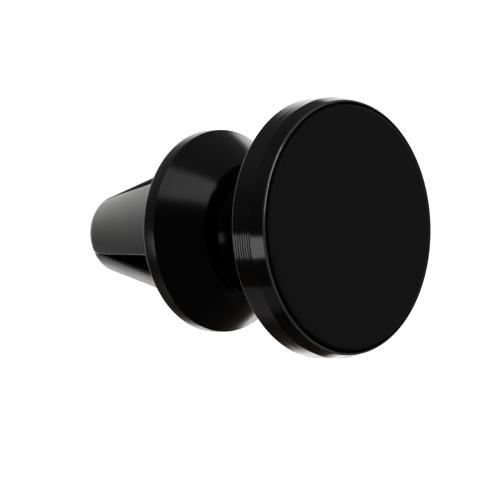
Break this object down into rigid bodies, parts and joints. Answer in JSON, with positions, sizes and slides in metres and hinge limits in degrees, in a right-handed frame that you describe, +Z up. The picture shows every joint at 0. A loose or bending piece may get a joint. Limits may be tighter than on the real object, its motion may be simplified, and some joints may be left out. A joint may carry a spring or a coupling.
{
  "type": "car phone mount",
  "caption": "Magnetic car phone mount: round magnet head on a ball joint, clamped by a cone-shaped nut, with a sprung cross-slotted clip for an air-vent blade.",
  "frame": {"origin": "on the common axis, in the plane of the clamping nut's rear face, where the vent clip starts", "axes": "+Y runs along the axis to the clip's tips and the phone face looks to -Y; +Z is up in use; the cross slots lie in the X and Z planes"},
  "size_m": [0.035, 0.0456, 0.035],
  "materials": {
    "anodised_head": "black anodised, fine turned, glossy",
    "anodised_nut": "black anodised, satin gloss",
    "anodised_ball": "black anodised, satin",
    "pad_rubber": "matte, very fine grain",
    "adhesive_film": "translucent film",
    "magnet_nickel": "nickel plated",
    "tray_plastic": "moulded",
    "zinc_steel": "zinc plated",
    "spring_steel": "polished spring steel",
    "screw_steel": "black oxide",
    "seat_plastic": "natural acetal",
    "socket_plastic": "moulded black",
    "finger_nylon": "moulded black nylon",
    "finger_silicone": "smooth satin silicone"
  },
  "bodies": {
    "clip_base": {"socket_body": "socket_plastic", "finger_ring": "socket_plastic", "seat_spring": "spring_steel"},
    "ring_carrier": {"friction_ring": "seat_plastic"},
    "nut": {"cone_nut": "anodised_nut"},
    "seat": {"ball_seat": "seat_plastic"},
    "stud": {"ball_stud": "anodised_ball"},
    "head": {"head_shell": "anodised_head", "front_pad": "pad_rubber", "pad_adhesive": "adhesive_film", "magnets": "magnet_nickel", "magnet_tray": "tray_plastic", "yoke_plate": "zinc_steel", "head_screw": "screw_steel", "lock_washer": "zinc_steel"},
    "finger_1": {"finger_core_1": "finger_nylon", "finger_sleeve_1": "finger_silicone"},
    "finger_2": {"finger_core_2": "finger_nylon", "finger_sleeve_2": "finger_silicone"},
    "finger_3": {"finger_core_3": "finger_nylon", "finger_sleeve_3": "finger_silicone"},
    "finger_4": {"finger_core_4": "finger_nylon", "finger_sleeve_4": "finger_silicone"}
  },
  "joints": [
    {"name": "nut_advance", "type": "slide", "parent": "clip_base", "child": "ring_carrier", "axis": [0, -1, 0], "range_m": [0, 0.001]},
    {"name": "nut_turn", "type": "hinge", "parent": "ring_carrier", "child": "nut", "pos_m": [0, -0.004, 0], "axis": [0, -1, 0], "range_deg": [0, 360]},
    {"name": "ball_swivel", "type": "hinge", "parent": "clip_base", "child": "seat", "pos_m": [0, -0.0058, 0], "axis": [0, 1, 0], "continuous": true},
    {"name": "ball_tilt", "type": "hinge", "parent": "seat", "child": "stud", "pos_m": [0, -0.0058, 0], "axis": [1, 0, 0], "range_deg": [-35, 35]},
    {"name": "head_spin", "type": "hinge", "parent": "stud", "child": "head", "pos_m": [0, -0.0199, 0], "axis": [0, 1, 0], "continuous": true},
    {"name": "finger_1_spread", "type": "hinge", "parent": "clip_base", "child": "finger_1", "pos_m": [0.00679, -0.00115, 0.00679], "axis": [0.7071, 0, -0.7071], "range_deg": [0, 5], "stiffness_Nm_per_rad": 1.5},
    {"name": "finger_2_spread", "type": "hinge", "parent": "clip_base", "child": "finger_2", "pos_m": [0.00679, -0.00115, -0.00679], "axis": [-0.7071, 0, -0.7071], "range_deg": [0, 5], "stiffness_Nm_per_rad": 1.5},
    {"name": "finger_3_spread", "type": "hinge", "parent": "clip_base", "child": "finger_3", "pos_m": [-0.00679, -0.00115, -0.00679], "axis": [-0.7071, 0, 0.7071], "range_deg": [0, 5], "stiffness_Nm_per_rad": 1.5},
    {"name": "finger_4_spread", "type": "hinge", "parent": "clip_base", "child": "finger_4", "pos_m": [-0.00679, -0.00115, 0.00679], "axis": [0.7071, 0, 0.7071], "range_deg": [0, 5], "stiffness_Nm_per_rad": 1.5}
  ],
  "couplings": [
    {"joint": "nut_advance", "follows": "nut_turn", "m_per_rad": 0.000159}
  ]
}
